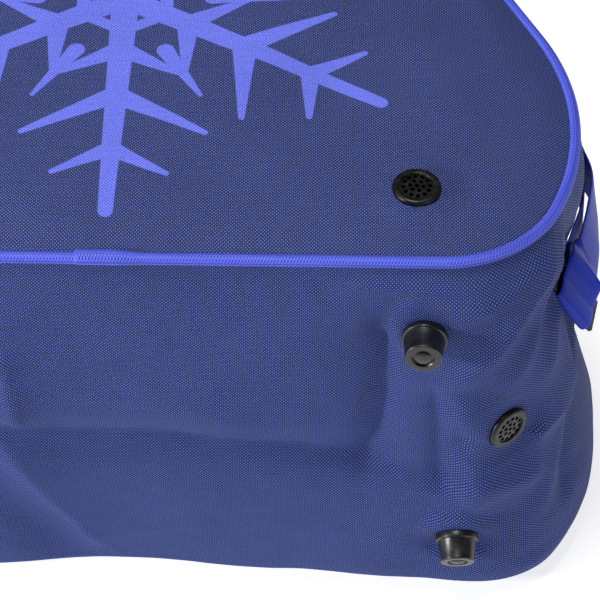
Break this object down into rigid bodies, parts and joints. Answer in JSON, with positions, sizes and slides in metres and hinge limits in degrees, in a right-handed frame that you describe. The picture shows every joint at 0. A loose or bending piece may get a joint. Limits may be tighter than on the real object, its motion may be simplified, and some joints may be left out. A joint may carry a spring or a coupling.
{
  "type": "ski boot bag",
  "caption": "Soft ski boot bag with piped seams, eyelet vents, bumper feet, side strap loops, a zip and a carry handle, lying on its back.",
  "frame": {"origin": "under the middle of the bag's bounding box, on the surface that its back panel lies on", "axes": "+X across the bag, +Y from its base to its carry handle, +Z out of its front panel"},
  "size_m": [0.4574, 0.404, 0.23],
  "materials": {
    "panel_cloth": "woven polyester with a soft sheen",
    "gusset_cloth": "woven polyester with a soft sheen",
    "piping": "braided cover over cord",
    "webbing": "flat woven webbing",
    "zip_tape": "knitted tape",
    "zip_coil": "moulded coil",
    "zip_metal": "black enamel",
    "black_plastic": "moulded, satin",
    "foot_plastic": "moulded, satin, with a paler end face"
  },
  "bodies": {
    "root": {"front_panel": "panel_cloth", "back_panel": "gusset_cloth", "base_gusset": "gusset_cloth", "top_gusset_front": "gusset_cloth", "top_gusset_rear": "gusset_cloth", "zip_tape": "zip_tape", "zip_coil": "zip_coil", "zip_slider_right": "zip_metal", "zip_slider_left": "zip_metal", "zip_pull_right": "zip_metal", "zip_pull_left": "zip_metal", "piping_front": "piping", "piping_back": "piping", "vent_front_right": "black_plastic", "vent_front_left": "black_plastic", "vent_side_right": "black_plastic", "vent_side_left": "black_plastic", "foot_front_right": "foot_plastic", "foot_front_left": "foot_plastic", "foot_rear_right": "foot_plastic", "foot_rear_left": "foot_plastic", "strap_loop_right": "webbing", "strap_loop_left": "webbing", "strap_slider_right": "black_plastic", "strap_slider_left": "black_plastic", "shoulder_strap": "webbing", "carry_handle": "webbing"}
  },
  "joints": []
}
